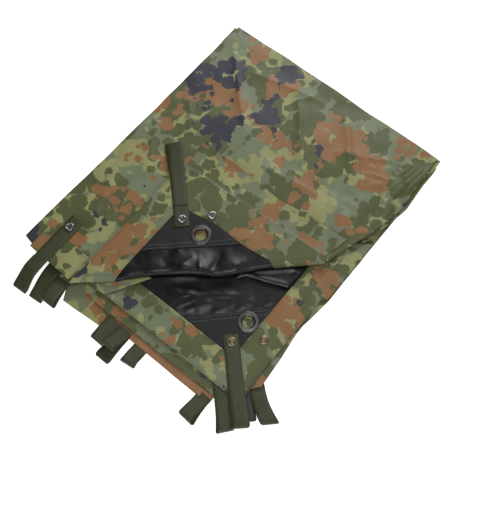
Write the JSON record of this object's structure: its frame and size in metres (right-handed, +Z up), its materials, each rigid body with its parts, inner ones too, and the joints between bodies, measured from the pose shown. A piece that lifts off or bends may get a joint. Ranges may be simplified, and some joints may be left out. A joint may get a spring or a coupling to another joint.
{
  "type": "bivy sack",
  "caption": "Folded bivy sack: camouflage outside, black coated inside, one mouth corner turned back, with webbing loops, grommets and press fasteners.",
  "frame": {"origin": "on the underside, at the middle of the folded pack", "axes": "+Z up, -Y towards the mouth edge with the peg loops, +X to the right along that edge"},
  "size_m": [0.4991, 0.602, 0.0352],
  "materials": {
    "camouflage": "plain-weave laminate printed in a five-colour spot camouflage, slight sheen",
    "coated_lining": "black coated fabric, semi-gloss",
    "webbing": "olive ribbed polyester webbing",
    "black_webbing": "black ribbed webbing",
    "gunmetal": "blackened brass, satin",
    "nickel": "darkened nickel",
    "antique_brass": "antique brass, worn edges"
  },
  "bodies": {
    "pack": {"base_panel": "camouflage", "under_panel": "camouflage", "lower_left_fold": "camouflage", "sack_fold_left": "camouflage", "sack_fold_back": "camouflage", "cover_panel": "camouflage", "cover_front_hem": "camouflage", "lower_hem_front": "camouflage", "lower_hem_side": "camouflage", "side_overlap": "camouflage", "lower_front_hem": "camouflage", "lower_mouth_panel": "coated_lining", "lower_corner_patch": "coated_lining", "lower_strap_tab": "webbing", "left_strap_tab": "webbing", "lower_grommet_eyelet": "gunmetal", "lower_grommet_washer": "gunmetal", "lower_hem_snap_stud": "antique_brass", "lower_hem_snap_cap": "antique_brass", "lower_strap_snap_stud": "antique_brass", "lower_strap_snap_cap": "antique_brass", "left_strap_snap_socket": "nickel", "left_strap_snap_cap": "nickel"},
    "flap": {"flap_panel": "coated_lining", "flap_corner_patch": "coated_lining", "flap_hem_left": "camouflage", "flap_hem_top": "camouflage", "flap_grommet_eyelet": "gunmetal", "flap_grommet_washer": "gunmetal", "flap_hem_snap_socket": "nickel", "flap_hem_snap_cap": "nickel", "flap_strap_tab": "webbing", "flap_strap_snap_socket": "nickel", "flap_strap_snap_cap": "nickel"},
    "storm_strip": {"storm_strip": "camouflage"},
    "flap_strap": {"flap_strap_loop": "webbing"},
    "lower_strap": {"lower_strap_loop": "webbing"},
    "left_strap": {"left_strap_loop": "webbing"},
    "left_loop_outer": {"left_loop_outer": "webbing"},
    "left_loop_inner": {"left_loop_inner": "webbing"},
    "middle_loop_left": {"middle_loop_left": "webbing"},
    "middle_loop_stack": {"middle_loop_centre": "webbing", "middle_loop_small": "webbing"},
    "middle_loop_right": {"middle_loop_right": "webbing"},
    "corner_loop_left": {"corner_loop_left": "webbing"},
    "corner_loop_front": {"corner_loop_front": "webbing"},
    "corner_loop_dark": {"corner_loop_dark": "black_webbing"},
    "corner_loop_side": {"corner_loop_side": "webbing"}
  },
  "joints": [
    {"name": "flap_fold", "type": "hinge", "parent": "pack", "child": "flap", "pos_m": [0.038, -0.135, 0.0213], "axis": [-0.7243, -0.6895, 0], "range_deg": [-165, 0]},
    {"name": "storm_strip_fold", "type": "hinge", "parent": "flap", "child": "storm_strip", "pos_m": [0.0345, 0.001, 0.0221], "axis": [0.9982, 0.06, 0], "range_deg": [0, 90]},
    {"name": "flap_strap_fold", "type": "hinge", "parent": "flap", "child": "flap_strap", "pos_m": [-0.0603, -0.0697, 0.02815], "axis": [0.7071, 0.7071, 0], "range_deg": [0, 150]},
    {"name": "lower_strap_fold", "type": "hinge", "parent": "pack", "child": "lower_strap", "pos_m": [0.1623, -0.2073, 0.01455], "axis": [-0.7071, -0.7071, 0], "range_deg": [0, 150]},
    {"name": "left_strap_fold", "type": "hinge", "parent": "pack", "child": "left_strap", "pos_m": [-0.174, -0.2776, 0.02445], "axis": [-1, 0, 0], "range_deg": [0, 150]},
    {"name": "left_loop_outer_fold", "type": "hinge", "parent": "pack", "child": "left_loop_outer", "pos_m": [-0.145, -0.276, 0.01095], "axis": [-0.9985, -0.0545, 0], "range_deg": [0, 70]},
    {"name": "left_loop_inner_fold", "type": "hinge", "parent": "pack", "child": "left_loop_inner", "pos_m": [-0.119, -0.276, 0.01095], "axis": [-0.9981, -0.0624, 0], "range_deg": [0, 70]},
    {"name": "middle_loop_left_fold", "type": "hinge", "parent": "pack", "child": "middle_loop_left", "pos_m": [-0.0205, -0.286, 0.00645], "axis": [-0.999, 0.0441, 0], "range_deg": [0, 90]},
    {"name": "middle_loop_stack_fold", "type": "hinge", "parent": "pack", "child": "middle_loop_stack", "pos_m": [0.0053, -0.286, 0.00645], "axis": [-1, 0, 0], "range_deg": [0, 90]},
    {"name": "middle_loop_right_fold", "type": "hinge", "parent": "pack", "child": "middle_loop_right", "pos_m": [0.041, -0.286, 0.00335], "axis": [-1, 0, 0], "range_deg": [0, 90]},
    {"name": "corner_loop_left_fold", "type": "hinge", "parent": "pack", "child": "corner_loop_left", "pos_m": [0.1655, -0.286, 0.00335], "axis": [-0.9999, 0.0128, 0], "range_deg": [0, 90]},
    {"name": "corner_loop_front_fold", "type": "hinge", "parent": "pack", "child": "corner_loop_front", "pos_m": [0.1915, -0.274, 0.00335], "axis": [-0.6968, -0.7173, 0], "range_deg": [0, 90]},
    {"name": "corner_loop_dark_fold", "type": "hinge", "parent": "pack", "child": "corner_loop_dark", "pos_m": [0.224, -0.2403, 0.00335], "axis": [-0.7071, -0.7071, 0], "range_deg": [0, 90]},
    {"name": "corner_loop_side_fold", "type": "hinge", "parent": "pack", "child": "corner_loop_side", "pos_m": [0.228, -0.216, 0.00335], "axis": [-0.6508, -0.7593, 0], "range_deg": [0, 90]}
  ]
}
